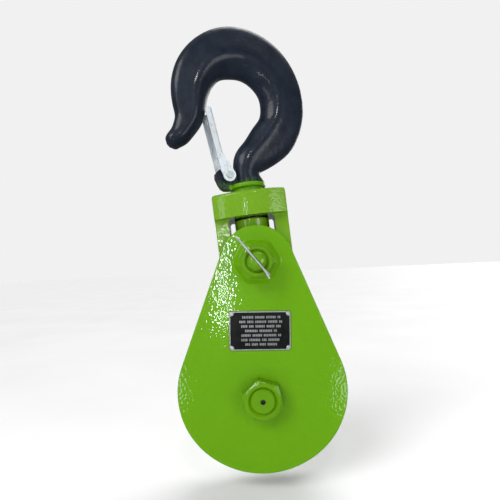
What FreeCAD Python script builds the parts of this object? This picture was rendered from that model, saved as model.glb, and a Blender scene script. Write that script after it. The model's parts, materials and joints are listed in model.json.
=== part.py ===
import FreeCAD, Part
import math
import os

from FreeCAD import Placement, Rotation, Vector

# A snatch block: a swivelling latch hook above a forged yoke, and two teardrop side plates round one sheave.
# Millimetres. The finished frame has +Z up, -Y towards the front plate and its origin where a sling bears in
# the hook's bowl. Three groups share it: the block (plates and sheave) hangs straight down, and the yoke and
# the hook lean together about the top bolt.

SIZES = {
    # side plates
    "plate_gap": 49.0,
    "plate_thickness": 8.0,
    "plate_top_radius": 48.0,
    "shoulder_radius": 103.0,
    "shoulder_side": 7.8,
    "shoulder_drop": 169.6,
    "plate_drop": 275.6,
    "pin_drop": 176.0,
    "plate_edge_round": 1.2,
    # hexagonal pressing round the top bolt
    "boss_height": 9.0,
    "boss_foot_radius": 33.6,
    "boss_top_radius": 26.2,
    "boss_corner_round": 15.0,
    "boss_foot_round": 3.0,
    "boss_top_round": 1.0,
    "boss_wall": 7.0,
    # top bolt, its nut and cotter
    "bolt_radius": 12.7,
    "bolt_head_height": 16.0,
    "bolt_flats": 38.1,
    "bolt_nut_height": 21.0,
    "bolt_sink_radius": 15.2,
    "bolt_dome_radius": 11.4,
    "bolt_dome_height": 8.0,
    "bolt_clearance": 0.06,
    "cotter_wire_radius": 1.3,
    "cotter_slot_width": 3.4,
    "cotter_slot_depth": 6.4,
    "cotter_eye_reach": 39.0,
    "cotter_leg_reach": 26.0,
    "cotter_eye_radius": 3.6,
    "cotter_turn": -52.0,
    # centre pin and its nuts
    "pin_radius": 15.875,
    "journal_radius": 19.0,
    "pin_nut_flats": 47.6,
    "pin_nut_height": 19.0,
    "pin_sink_radius": 19.0,
    "pin_proud": 0.8,
    "pin_end_chamfer": 2.0,
    "grease_hole_radius": 3.6,
    "grease_hole_depth": 48.0,
    "grease_cross_radius": 2.0,
    "fitting_length": 9.0,
    "fitting_mouth_radius": 2.4,
    "ball_radius": 2.8,
    # sheave, bushing and hub washers
    "sheave_radius": 100.0,
    "rim_width": 42.0,
    "groove_radius": 10.2,
    "groove_depth": 20.0,
    "groove_lip_round": 5.0,
    "rim_edge_round": 1.2,
    "hub_radius": 36.0,
    "hub_width": 45.4,
    "web_outer_radius": 72.0,
    "web_recess": 8.0,
    "bushing_radius": 25.4,
    "hub_washer_radius": 33.0,
    "hub_washer_thickness": 1.6,
    "running_clearance": 0.06,
    # nameplate
    "nameplate_width": 80.0,
    "nameplate_height": 51.0,
    "nameplate_thickness": 1.0,
    "nameplate_corner": 3.0,
    "nameplate_drop": 89.5,
    "nameplate_skew": 1.8,
    "screw_head_radius": 2.4,
    "screw_head_height": 1.4,
    "screw_inset": 3.7,
    "screw_stub_radius": 1.2,
    # yoke
    "yoke_half_width": 48.5,
    "yoke_thickness": 47.0,
    "yoke_eye_radius": 47.0,
    "head_bottom": 61.0,
    "head_top": 93.0,
    "head_middle_half": 42.0,
    "head_end_half": 30.0,
    "head_round": 4.0,
    "step_round": 5.0,
    "window_half_width": 31.0,
    "window_bottom": 24.0,
    "window_round": 6.0,
    # hook, its nut and thrust washer
    "shank_radius": 16.0,
    "collar_radius": 21.0,
    "collar_height": 7.7,
    "collar_lip_radius": 25.0,
    "collar_lip": 6.5,
    "collar_lip_round": 2.4,
    "hook_nut_radius": 23.6,
    "hook_nut_height": 29.0,
    "thrust_washer_radius": 23.2,
    "thrust_washer_thickness": 2.0,
    "axial_play": 0.3,
    "lock_pin_radius": 2.5,
    "lock_pin_level": 9.0,
    "hook_nut_edge": 1.2,
    # latch
    "latch_pivot_x": -27.0,
    "latch_pivot_z": 119.3,
    "latch_tilt": 7.5,
    "latch_length": 93.0,
    "latch_eye_radius": 8.6,
    "latch_sheet": 2.0,
    "latch_inside": 26.0,
    "latch_blade_left": 10.0,
    "latch_blade_right": 1.0,
    "latch_web_start": 30.0,
    "latch_bend": 3.0,
    "lug_thickness": 14.0,
    "lug_radius": 10.0,
    "rivet_radius": 3.2,
    "rivet_head_radius": 4.6,
    "rivet_head_height": 1.6,
    "spring_wire_radius": 0.8,
    "spring_coil_radius": 4.7,
    "spring_coil_length": 3.6,
    "spring_turns": 2.0,
    # how the block hangs
    "lean": 4.8,
    "hook_turn": 18.0,
    "bowl_x": -5.6,
    "bowl_z": 255.5,
}

# Sections of the hook from its neck round to its point: name, centre x and z, direction in degrees from the
# bowl side to the back, depth in that direction, width across, and how far the section has changed from
# round (0) to the forged wedge shape (1).
HOOK_SECTIONS = [
    ("root", 3.0, 104.0, 0.0, 37.0, 34.0, 0.0),
    ("stem", 3.0, 113.0, 0.0, 39.5, 34.0, 0.1),
    ("neck", 3.0, 129.0, -14.0, 40.0, 35.0, 0.3),
    ("heel", 23.0, 149.0, -27.0, 57.0, 37.0, 0.8),
    ("low_back", 42.0, 166.0, -26.0, 64.0, 39.0, 1.0),
    ("back", 55.5, 183.0, -19.0, 64.5, 41.0, 1.0),
    ("mid_back", 64.5, 203.0, -7.0, 64.0, 43.0, 1.0),
    ("high_back", 66.5, 226.0, 7.0, 64.5, 44.0, 1.0),
    ("shoulder", 57.0, 258.0, 32.0, 67.5, 44.0, 1.0),
    ("crown_back", 28.0, 285.0, 60.0, 71.5, 44.0, 1.0),
    ("crown", -5.6, 290.5, 89.0, 70.0, 44.0, 1.0),
    ("crown_front", -32.0, 281.5, 116.0, 62.0, 43.0, 1.0),
    ("brow", -50.8, 263.6, 143.0, 57.0, 41.0, 1.0),
    ("front", -61.8, 240.8, 165.0, 51.6, 38.0, 1.0),
    ("throat", -65.8, 219.0, 175.0, 44.6, 35.0, 1.0),
    ("point_root", -68.0, 203.5, 167.0, 38.5, 33.0, 0.95),
    ("point", -73.5, 191.5, 153.0, 33.0, 30.0, 0.75),
    ("snout", -81.5, 180.5, 138.0, 28.5, 26.5, 0.4),
    ("tip", -90.6, 172.5, 130.0, 24.3, 24.0, 0.0),
]

# Levels that several pieces share, as spreadsheet expressions.
OUTSIDE = "Sizes.plate_gap / 2 + Sizes.plate_thickness"
BOSS_TOP = OUTSIDE + " + Sizes.boss_height"
SHANK_END = "(Sizes.head_bottom - Sizes.axial_play - Sizes.thrust_washer_thickness - Sizes.hook_nut_height)"

doc = FreeCAD.newDocument("snatch_block")
sheet = doc.addObject("Spreadsheet::Sheet", "Sizes")


def fill_sheet():
    rows = dict(SIZES)
    for name, x, z, facing, depth, width, wedge in HOOK_SECTIONS:
        rows[f"{name}_x"] = x
        rows[f"{name}_z"] = z
        rows[f"{name}_facing"] = facing
        rows[f"{name}_depth"] = depth
        rows[f"{name}_width"] = width
        rows[f"{name}_wedge"] = wedge
    for row, (alias, value) in enumerate(rows.items(), start=1):
        sheet.set(f"A{row}", alias)
        sheet.set(f"B{row}", str(value))
        sheet.setAlias(f"B{row}", alias)
    doc.recompute()


def size(alias):
    return float(sheet.get(alias))


def bind(thing, **expressions):
    for name, expression in expressions.items():
        thing.setExpression(name, expression)


# ---- small builders -------------------------------------------------------------------------------------


def cylinder(name, radius, height, z="0", x="0", y="0"):
    """A cylinder along local Z, each size an expression on the sheet."""
    solid = doc.addObject("Part::Cylinder", name)
    bind(solid, Radius=radius, Height=height)
    solid.setExpression("Placement.Base.x", x)
    solid.setExpression("Placement.Base.y", y)
    solid.setExpression("Placement.Base.z", z)
    return solid


def cone(name, bottom, top, height, z="0"):
    solid = doc.addObject("Part::Cone", name)
    bind(solid, Radius1=bottom, Radius2=top, Height=height)
    solid.setExpression("Placement.Base.z", z)
    return solid


def box(name, length, width, height, x="0", y="0", z="0"):
    """A box with one corner at x, y, z."""
    solid = doc.addObject("Part::Box", name)
    bind(solid, Length=length, Width=width, Height=height)
    solid.setExpression("Placement.Base.x", x)
    solid.setExpression("Placement.Base.y", y)
    solid.setExpression("Placement.Base.z", z)
    return solid


def prism(name, flats, height, z="0"):
    """A hexagonal prism with two flats facing local +Y and -Y."""
    solid = doc.addObject("Part::Prism", name)
    solid.Polygon = 6
    bind(solid, Circumradius=f"({flats}) / sqrt(3)", Height=height)
    solid.setExpression("Placement.Base.z", z)
    return solid


def cut(name, base, *tools, refine=True):
    tool = tools[0] if len(tools) == 1 else fuse(name + "_tools", *tools)
    result = doc.addObject("Part::Cut", name)
    result.Base = base
    result.Tool = tool
    result.Refine = refine
    return result


def fuse(name, *pieces, refine=True):
    result = doc.addObject("Part::MultiFuse", name)
    result.Shapes = list(pieces)
    result.Refine = refine
    return result


def common(name, *pieces):
    result = doc.addObject("Part::MultiCommon", name)
    result.Shapes = list(pieces)
    result.Refine = True
    return result


def rounded(name, base, radius, chosen):
    """Fillet every edge of base that the test chosen accepts."""
    doc.recompute()
    fillet = doc.addObject("Part::Fillet", name)
    fillet.Base = base
    edges = [n for n, edge in enumerate(base.Shape.Edges, start=1) if chosen(edge)]
    if not edges:
        raise RuntimeError(f"{name}: no edge to round")
    fillet.Edges = [(n, radius, radius) for n in edges]
    return fillet


def chamfered(name, base, width, chosen):
    doc.recompute()
    chamfer = doc.addObject("Part::Chamfer", name)
    chamfer.Base = base
    edges = [n for n, edge in enumerate(base.Shape.Edges, start=1) if chosen(edge)]
    if not edges:
        raise RuntimeError(f"{name}: no edge to chamfer")
    chamfer.Edges = [(n, width, width) for n in edges]
    return chamfer


def at_height(edge, z, tolerance=0.01):
    box_of = edge.BoundBox
    return abs(box_of.ZMin - z) < tolerance and abs(box_of.ZMax - z) < tolerance


def is_circle(edge, radius, z):
    curve = edge.Curve
    round_edge = isinstance(curve, Part.Circle) and abs(curve.Radius - radius) < 0.01
    return round_edge and at_height(edge, z)


def shape_feature(name, shape):
    feature = doc.addObject("Part::Feature", name)
    feature.Shape = shape
    return feature


def bent_wire(points, radius, bend):
    """A round wire along straight runs joined by tangent arcs."""
    edges = []
    start = points[0]
    for before, corner, after in zip(points, points[1:], points[2:]):
        into = (corner - before).normalize()
        out = (after - corner).normalize()
        half_turn = into.getAngle(out) / 2
        reach = bend * math.tan(half_turn)
        first = corner - into * reach
        last = corner + out * reach
        inward = (out - into).normalize()
        middle = corner + inward * (bend / math.cos(half_turn) - bend)
        edges.append(Part.LineSegment(start, first).toShape())
        edges.append(Part.Arc(first, middle, last).toShape())
        start = last
    edges.append(Part.LineSegment(start, points[-1]).toShape())
    path = Part.Wire(edges)
    profile = Part.Wire([Part.Circle(points[0], points[1] - points[0], radius).toShape()])
    return path.makePipeShell([profile], True, True)


# ---- side plates ----------------------------------------------------------------------------------------


def plate_outline_points():
    """Tangent points and arc middles of the right half of the teardrop, bolt axis at 0, 0 and +Y up."""
    top_radius = size("plate_top_radius")
    shoulder = size("shoulder_radius")
    centre = Vector(size("shoulder_side"), -size("shoulder_drop"), 0)
    drop = size("plate_drop")
    lift = drop - size("shoulder_drop")
    side = size("shoulder_side")
    bottom_radius = (side**2 + lift**2 - shoulder**2) / (2 * (lift - shoulder))
    bottom_centre = Vector(0, bottom_radius - drop, 0)
    along = math.atan2(centre.x, -centre.y)
    taper = along + math.asin((shoulder - top_radius) / centre.Length)
    normal = Vector(math.cos(taper), math.sin(taper), 0)
    outward = (centre - bottom_centre).normalize()
    return {
        "top": Vector(0, top_radius, 0),
        "upper": normal * top_radius,
        "lower": centre + normal * shoulder,
        "side": centre + Vector(shoulder, 0, 0),
        "join": bottom_centre + outward * bottom_radius,
        "bottom": Vector(0, -drop, 0),
    }


def mirrored(point):
    return Vector(-point.x, point.y, point.z)


def plate_body(name):
    """The flat teardrop without its holes, from local z = half the gap outwards."""
    body = doc.addObject("PartDesign::Body", name)
    plane = [f for f in body.Origin.OriginFeatures if f.Role == "XY_Plane"][0]
    sketch = body.newObject("Sketcher::SketchObject", name + "_outline")
    sketch.AttachmentSupport = (plane, [""])
    sketch.MapMode = "FlatFace"
    sketch.setExpression("AttachmentOffset.Base.z", "Sizes.plate_gap / 2")
    p = plate_outline_points()
    arcs = [
        Part.Arc(p["upper"], p["top"], mirrored(p["upper"])),
        Part.Arc(mirrored(p["lower"]), mirrored(p["side"]), mirrored(p["join"])),
        Part.Arc(mirrored(p["join"]), p["bottom"], p["join"]),
        Part.Arc(p["join"], p["side"], p["lower"]),
    ]
    lines = [
        Part.LineSegment(mirrored(p["upper"]), mirrored(p["lower"])),
        Part.LineSegment(p["lower"], p["upper"]),
    ]
    sketch.addGeometry([arcs[0], lines[0], arcs[1], arcs[2], arcs[3], lines[1]], False)
    pad = body.newObject("PartDesign::Pad", name + "_pad")
    pad.Profile = sketch
    pad.setExpression("Length", "Sizes.plate_thickness")
    doc.recompute()
    return body


def hexagon(name, radius, z):
    polygon = doc.addObject("Part::RegularPolygon", name)
    polygon.Polygon = 6
    polygon.setExpression("Circumradius", radius)
    polygon.setExpression("Placement.Base.z", z)
    return polygon


def hexagonal_frustum(name, foot, top, z, height):
    loft = doc.addObject("Part::Loft", name)
    loft.Sections = [hexagon(name + "_foot", foot, z), hexagon(name + "_top", top, f"({z}) + ({height})")]
    loft.Solid = True
    loft.Ruled = True
    return loft


def slanted(edge):
    box_of = edge.BoundBox
    return box_of.ZMax - box_of.ZMin > 1.0


def near_axis(edge, reach):
    box_of = edge.BoundBox
    return max(abs(box_of.XMin), abs(box_of.XMax), abs(box_of.YMin), abs(box_of.YMax)) < reach


def side_plate(name):
    face = size("plate_gap") / 2 + size("plate_thickness")
    raised = face + size("boss_height")
    flat = plate_body(name + "_flat")
    outer = hexagonal_frustum(
        name + "_boss", "Sizes.boss_foot_radius", "Sizes.boss_top_radius",
        "Sizes.plate_gap / 2 + Sizes.plate_thickness - 1", "Sizes.boss_height + 1",
    )
    outer_round = rounded(name + "_boss_round", outer, size("boss_corner_round"), slanted)
    inner = hexagonal_frustum(
        name + "_hollow", "Sizes.boss_foot_radius - Sizes.boss_wall + 4",
        "Sizes.boss_top_radius - Sizes.boss_wall + 2",
        "Sizes.plate_gap / 2 - 1", "Sizes.boss_height + 1",
    )
    whole = fuse(name + "_whole", flat, outer_round)
    foot_round = rounded(
        name + "_foot", whole, size("boss_foot_round"),
        lambda edge: at_height(edge, face) and near_axis(edge, size("boss_foot_radius") + 3),
    )
    top_round = rounded(
        name + "_crest", foot_round, size("boss_top_round"),
        lambda edge: at_height(edge, raised) and near_axis(edge, size("boss_foot_radius") + 3),
    )
    hole = cylinder(name + "_bolt_hole", "Sizes.bolt_radius", "Sizes.plate_gap * 2")
    pin_hole = cylinder(name + "_pin_hole", "Sizes.pin_radius", "Sizes.plate_gap * 2", y="-Sizes.pin_drop")
    bored = cut(name + "_bored", top_round, inner, hole, pin_hole)
    rim = size("plate_top_radius") - 0.1

    def outline(edge):
        pin_edge = is_circle(edge, size("pin_radius"), face)
        return at_height(edge, face) and not near_axis(edge, rim) and not pin_edge

    return rounded(name, bored, size("plate_edge_round"), outline)


# ---- hexagonal fasteners --------------------------------------------------------------------------------


def hex_blank(name, flats, height, z):
    """A hexagon whose outer face ends in a 30 degree chamfer, where z is its inner face."""
    blank = prism(name + "_hexagon", flats, height, z)
    wide = f"({flats}) * 0.99"
    narrow = f"({flats}) * 0.465"
    slope = f"(({wide}) - ({narrow})) / tan(60)"
    chamfer = cone(name + "_chamfer", wide, narrow, slope, f"({z}) + ({height}) - {slope}")
    below = cylinder(name + "_below", wide, f"({height}) - {slope} + 0.001", z)
    return common(name + "_blank", blank, fuse(name + "_limit", chamfer, below))


def nut(name, flats, height, z, bore, sink):
    blank = hex_blank(name, flats, height, z)
    hole = cylinder(name + "_thread", bore, f"({height}) + 2", f"({z}) - 1")
    countersink = cone(
        name + "_countersink", bore, sink, f"({sink}) - ({bore})",
        f"({z}) + ({height}) - (({sink}) - ({bore}))",
    )
    return cut(name, blank, hole, countersink)


def top_bolt():
    head = hex_blank("top_bolt_head", "Sizes.bolt_flats", "Sizes.bolt_head_height", BOSS_TOP)
    head.Placement = Placement(Vector(0, 0, 0), Rotation(Vector(1, 0, 0), 180))
    shank = cylinder(
        "top_bolt_shank", "Sizes.bolt_radius", f"2 * ({BOSS_TOP}) + Sizes.bolt_nut_height - 2",
        f"-({BOSS_TOP})",
    )
    nut_face = f"{BOSS_TOP} + Sizes.bolt_nut_height"
    neck = cylinder("top_bolt_neck", "Sizes.bolt_dome_radius", "4", f"{nut_face} - 2")
    ball = doc.addObject("Part::Ellipsoid", "top_bolt_dome")
    bind(
        ball, Radius1="Sizes.bolt_dome_height - 2", Radius2="Sizes.bolt_dome_radius",
        Radius3="Sizes.bolt_dome_radius",
    )
    ball.setExpression("Placement.Base.z", f"{nut_face} + 2")
    slot = box(
        "top_bolt_slot", "40", "Sizes.cotter_slot_width", "20",
        "-20", "-Sizes.cotter_slot_width / 2",
        f"{nut_face} + Sizes.bolt_dome_height - Sizes.cotter_slot_depth",
    )
    holder = fuse("top_bolt_solid", head, shank, neck, ball)
    slot_floor = f"{nut_face} + Sizes.bolt_dome_height - Sizes.cotter_slot_depth"
    slot_end = cylinder("top_bolt_slot_end", "Sizes.cotter_slot_width / 2", "20", slot_floor)
    slot_turned = doc.addObject("Part::MultiFuse", "top_bolt_slot_turned")
    slot_turned.Shapes = [slot, slot_end]
    slot_turned.Placement = Placement(Vector(0, 0, 0), Rotation(Vector(0, 0, 1), size("cotter_turn")))
    return cut("top_bolt", holder, slot_turned)


def cotter():
    """One wire: a leg, the eye, and the other leg, whose end is bent aside."""
    wire = size("cotter_wire_radius")
    eye = size("cotter_eye_radius")
    nut_face = size("plate_gap") / 2 + size("plate_thickness") + size("boss_height") + size("bolt_nut_height")
    low = nut_face + size("bolt_dome_height") - size("cotter_slot_depth") + wire + 0.1
    high = low + 2 * wire + 0.15
    middle = (low + high) / 2
    back = -size("cotter_eye_reach")
    ahead = size("cotter_leg_reach")
    points = [
        Vector(ahead - 3, 0.9, low - 0.6),
        Vector(ahead - 12, 0, low),
        Vector(back + 2 * eye + 4, 0, low),
        Vector(back + eye + 1, 0, middle - eye),
        Vector(back, 0, middle - eye),
        Vector(back, 0, middle + eye),
        Vector(back + eye + 1, 0, middle + eye),
        Vector(back + 2 * eye + 4, 0, high),
        Vector(ahead - 11, 0, high),
        Vector(ahead, -2.0, high + 0.4),
    ]
    turn = Rotation(Vector(0, 0, 1), size("cotter_turn"))
    return shape_feature("top_bolt_cotter", bent_wire([turn.multVec(p) for p in points], wire, 2.0))


def centre_pin():
    end = f"{OUTSIDE} + Sizes.pin_nut_height + Sizes.pin_proud"
    journal = cylinder(
        "centre_pin_journal", "Sizes.journal_radius", "Sizes.plate_gap", "-Sizes.plate_gap / 2",
    )
    rod = cylinder("centre_pin_rod", "Sizes.pin_radius", f"2 * ({end})", f"-({end})")
    reach = size("plate_gap") / 2 + size("plate_thickness") + size("pin_nut_height") + size("pin_proud")
    radius = size("pin_radius")
    solid = chamfered(
        "centre_pin_solid", fuse("centre_pin_blank", journal, rod), size("pin_end_chamfer"),
        lambda edge: is_circle(edge, radius, reach) or is_circle(edge, radius, -reach),
    )
    hole = cylinder(
        "centre_pin_grease_hole", "Sizes.grease_hole_radius", "Sizes.grease_hole_depth + 1",
        f"{end} - Sizes.grease_hole_depth",
    )
    cross = doc.addObject("Part::Cylinder", "centre_pin_cross_hole")
    bind(cross, Radius="Sizes.grease_cross_radius", Height="Sizes.journal_radius + 2")
    cross.Placement = Placement(Vector(0, 0, 0), Rotation(Vector(1, 0, 0), -90))
    return cut("centre_pin", solid, hole, cross)


def grease_fitting():
    mouth = f"{OUTSIDE} + Sizes.pin_nut_height + Sizes.pin_proud"
    sleeve = cylinder(
        "grease_fitting_sleeve", "Sizes.grease_hole_radius", "Sizes.fitting_length",
        f"{mouth} - Sizes.fitting_length",
    )
    seat = cylinder(
        "grease_fitting_seat", "Sizes.ball_radius + 0.1", "Sizes.fitting_length",
        f"{mouth} - Sizes.fitting_length - 1.6",
    )
    opening = cylinder("grease_fitting_mouth", "Sizes.fitting_mouth_radius", "20", f"{mouth} - 10")
    return cut("grease_fitting", sleeve, seat, opening)


def grease_ball():
    ball = doc.addObject("Part::Sphere", "grease_ball")
    bind(ball, Radius="Sizes.ball_radius")
    return ball


# ---- sheave ---------------------------------------------------------------------------------------------


def sheave():
    blank = cylinder("sheave_blank", "Sizes.sheave_radius", "Sizes.rim_width", "-Sizes.rim_width / 2")
    rope_bed = doc.addObject("Part::Torus", "sheave_rope_bed")
    bind(
        rope_bed, Radius1="Sizes.sheave_radius - Sizes.groove_depth + Sizes.groove_radius",
        Radius2="Sizes.groove_radius",
    )
    slot_outer = cylinder(
        "sheave_slot_outer", "Sizes.sheave_radius + 5", "2 * Sizes.groove_radius", "-Sizes.groove_radius"
    )
    slot_inner = cylinder(
        "sheave_slot_inner", "Sizes.sheave_radius - Sizes.groove_depth + Sizes.groove_radius",
        "2 * Sizes.groove_radius + 2", "-Sizes.groove_radius - 1",
    )
    slot = cut("sheave_slot", slot_outer, slot_inner)
    recesses = []
    levels = {"front": "Sizes.rim_width / 2 - Sizes.web_recess", "rear": "-Sizes.rim_width / 2 - 2"}
    for face, level in levels.items():
        recess = "sheave_" + face + "_recess"
        outer = cylinder(recess + "_outer", "Sizes.web_outer_radius", "Sizes.web_recess + 2", level)
        inner = cylinder(recess + "_inner", "Sizes.hub_radius", "Sizes.web_recess + 6", f"{level} - 2")
        recesses.append(cut(recess, outer, inner))
    grooved = cut("sheave_grooved", blank, rope_bed, slot, *recesses)
    lip = size("groove_radius")
    rim = size("rim_width") / 2
    radius = size("sheave_radius")
    lipped = rounded(
        "sheave_lipped", grooved, size("groove_lip_round"),
        lambda edge: is_circle(edge, radius, lip) or is_circle(edge, radius, -lip),
    )
    eased = rounded(
        "sheave_eased", lipped, size("rim_edge_round"),
        lambda edge: is_circle(edge, radius, rim) or is_circle(edge, radius, -rim),
    )
    hub = cylinder("sheave_hub", "Sizes.hub_radius", "Sizes.hub_width", "-Sizes.hub_width / 2")
    bore = cylinder("sheave_bore", "Sizes.bushing_radius", "Sizes.hub_width + 2", "-Sizes.hub_width / 2 - 1")
    return cut("sheave", fuse("sheave_with_hub", eased, hub), bore)


def ring(name, outer, inner, height, z):
    disc = cylinder(name + "_disc", outer, height, z)
    hole = cylinder(name + "_hole", inner, f"({height}) + 2", f"({z}) - 1")
    return cut(name, disc, hole)


# ---- nameplate ------------------------------------------------------------------------------------------


def nameplate():
    sheet_metal = box(
        "nameplate_sheet", "Sizes.nameplate_width", "Sizes.nameplate_height", "Sizes.nameplate_thickness",
        "-Sizes.nameplate_width / 2", "-Sizes.nameplate_drop - Sizes.nameplate_height / 2", OUTSIDE,
    )
    corners = rounded("nameplate_blank", sheet_metal, size("nameplate_corner"), through_sheet)
    holes = [
        cylinder(f"nameplate_hole_{n}", "Sizes.screw_stub_radius", "6", f"{OUTSIDE} - 2", x, y)
        for n, (x, y) in enumerate(screw_places(), start=1)
    ]
    return cut("nameplate", corners, *holes)


def through_sheet(edge):
    """The short edges at the nameplate's corners."""
    return edge.BoundBox.ZLength > size("nameplate_thickness") / 2


def screw_places():
    across = "(Sizes.nameplate_width / 2 - Sizes.screw_inset)"
    up = "(Sizes.nameplate_height / 2 - Sizes.screw_inset)"
    return [(f"{sx}{across}", f"-Sizes.nameplate_drop {sy} {up}") for sx in ("", "-") for sy in ("+", "-")]


def nameplate_screws():
    """Four drive screws: a round head on the nameplate and a stub in its hole."""
    solids = []
    level = f"{OUTSIDE} + Sizes.nameplate_thickness"
    for n, (x, y) in enumerate(screw_places(), start=1):
        head = cylinder(f"screw_{n}_head", "Sizes.screw_head_radius", "Sizes.screw_head_height", level, x, y)
        stub = cylinder(
            f"screw_{n}_stub", "Sizes.screw_stub_radius", "Sizes.nameplate_thickness", OUTSIDE, x, y,
        )
        blank = fuse(f"screw_{n}_blank", head, stub)
        face = size("plate_gap") / 2 + size("plate_thickness") + size("nameplate_thickness")
        top = face + size("screw_head_height")
        solids.append(
            rounded(
                f"screw_{n}", blank, size("screw_head_height") * 0.8,
                lambda edge: is_circle(edge, size("screw_head_radius"), top),
            )
        )
    group = doc.addObject("Part::Compound", "nameplate_screws")
    group.Links = solids
    return group


# ---- yoke and swivel ------------------------------------------------------------------------------------


def yoke():
    """Local Z runs up the shank and the bolt axis is local Y through the origin."""
    chord = size("yoke_half_width")
    rise = size("head_middle_half") - size("head_end_half")
    sweep = (chord**2 + rise**2) / (2 * rise)
    height = "Sizes.head_top - Sizes.head_bottom"
    block = box(
        "yoke_head_block", "2 * Sizes.yoke_half_width", "200", height,
        "-Sizes.yoke_half_width", "-100", "Sizes.head_bottom",
    )
    offset = sweep - size("head_middle_half")
    front_arc = cylinder("yoke_front_arc", str(sweep), height, "Sizes.head_bottom", y=str(offset))
    rear_arc = cylinder("yoke_rear_arc", str(sweep), height, "Sizes.head_bottom", y=str(-offset))
    head = common("yoke_head", block, front_arc, rear_arc)
    legs = box(
        "yoke_legs", "2 * Sizes.yoke_half_width", "Sizes.yoke_thickness", "Sizes.head_bottom + 1",
        "-Sizes.yoke_half_width", "-Sizes.yoke_thickness / 2", "0",
    )
    eye = doc.addObject("Part::Cylinder", "yoke_eye")
    bind(eye, Radius="Sizes.yoke_eye_radius", Height="Sizes.yoke_thickness")
    eye.Placement = Placement(Vector(0, size("yoke_thickness") / 2, 0), Rotation(Vector(1, 0, 0), 90))
    window = box(
        "yoke_window_block", "2 * Sizes.window_half_width", "200", "Sizes.head_bottom - Sizes.window_bottom",
        "-Sizes.window_half_width", "-100", "Sizes.window_bottom",
    )
    window_round = rounded(
        "yoke_window", window, size("window_round"),
        lambda edge: edge.BoundBox.YMax - edge.BoundBox.YMin > 100,
    )
    solid = fuse("yoke_solid", head, legs, eye)
    top = size("head_top")
    low = size("head_bottom")
    half = size("yoke_thickness") / 2
    ends = size("yoke_half_width")
    upper_edges = rounded(
        "yoke_head_round", solid, size("head_round"),
        lambda edge: edge.BoundBox.ZMin > low - 0.1 and edge.BoundBox.ZMax - edge.BoundBox.ZMin > 20
        or at_height(edge, top),
    )
    stepped = rounded(
        "yoke_step_round", upper_edges, size("step_round"),
        lambda edge: at_height(edge, low) and abs(abs(edge.BoundBox.YMin) - half) < 0.1
        and abs(abs(edge.BoundBox.YMax) - half) < 0.1 and edge.BoundBox.XMax - edge.BoundBox.XMin > ends,
    )
    bolt_hole = doc.addObject("Part::Cylinder", "yoke_bolt_hole")
    bind(bolt_hole, Radius="Sizes.bolt_radius + Sizes.bolt_clearance", Height="100")
    bolt_hole.Placement = Placement(Vector(0, 50, 0), Rotation(Vector(1, 0, 0), 90))
    shank_hole = cylinder(
        "yoke_shank_hole", "Sizes.shank_radius + Sizes.running_clearance", "60", "Sizes.head_bottom - 10",
    )
    return cut("yoke", stepped, window_round, bolt_hole, shank_hole)


def section_wire(name, offset=Vector(0, 0, 0), shrink=1.0):
    """One hook section as a closed curve, blended from a circle to the forged wedge."""
    facing = math.radians(size(name + "_facing"))
    depth = size(name + "_depth") * shrink
    width = size(name + "_width") * shrink
    wedge = size(name + "_wedge")
    wedge_half = [(-0.5, 0.0), (-0.44, 0.24), (-0.17, 0.5), (0.17, 0.40), (0.43, 0.25), (0.5, 0.0)]
    angles = [180, 150, 110, 70, 30, 0]
    half = []
    for (u, v), angle in zip(wedge_half, angles):
        round_u = 0.5 * math.cos(math.radians(angle))
        round_v = 0.5 * math.sin(math.radians(angle))
        half.append((u * wedge + round_u * (1 - wedge), v * wedge + round_v * (1 - wedge)))
    loop = half + [(u, -v) for u, v in half[-2:0:-1]]
    centre = Vector(size(name + "_x"), 0, size(name + "_z")) + offset
    outward = Vector(math.cos(facing), 0, math.sin(facing))
    points = [centre + outward * (u * depth) + Vector(0, 1, 0) * (v * width) for u, v in loop]
    curve = Part.BSplineCurve()
    curve.interpolate(Points=points, PeriodicFlag=True)
    return Part.Wire([curve.toShape()])


def tip_wires():
    """Ever smaller rounds past the last section, which close the hook's point like a ball."""
    ahead = math.radians(size("tip_facing") + 90)
    radius = size("tip_depth") / 2
    wires = []
    for latitude in (28, 50, 68, 82):
        angle = math.radians(latitude)
        offset = Vector(math.cos(ahead), 0, math.sin(ahead)) * (radius * math.sin(angle))
        wires.append(section_wire("tip", offset, math.cos(angle)))
    return wires


def hook():
    wires = [section_wire(row[0]) for row in HOOK_SECTIONS] + tip_wires()
    arm = shape_feature("hook_arm", Part.makeLoft(wires, True, False, False, 3))
    collar_base = "Sizes.head_top + Sizes.axial_play"
    lip_base = f"{collar_base} + Sizes.collar_height"
    collar = cylinder("hook_collar", "Sizes.collar_radius", "Sizes.collar_height + 1", collar_base)
    lip_blank = cylinder("hook_lip_blank", "Sizes.collar_lip_radius", "Sizes.collar_lip", lip_base)
    low = size("head_top") + size("axial_play") + size("collar_height")
    high = low + size("collar_lip")
    radius = size("collar_lip_radius")
    lip = rounded(
        "hook_lip", lip_blank, size("collar_lip_round"),
        lambda edge: is_circle(edge, radius, low) or is_circle(edge, radius, high),
    )
    shank = cylinder("hook_shank", "Sizes.shank_radius", f"Sizes.head_top + 4 - {SHANK_END}", SHANK_END)
    drilled = cut("hook_shank_drilled", shank, lock_pin_solid("hook_lock_pin_hole", 10))
    return fuse("hook", arm, collar, lip, drilled, latch_lug())


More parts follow.
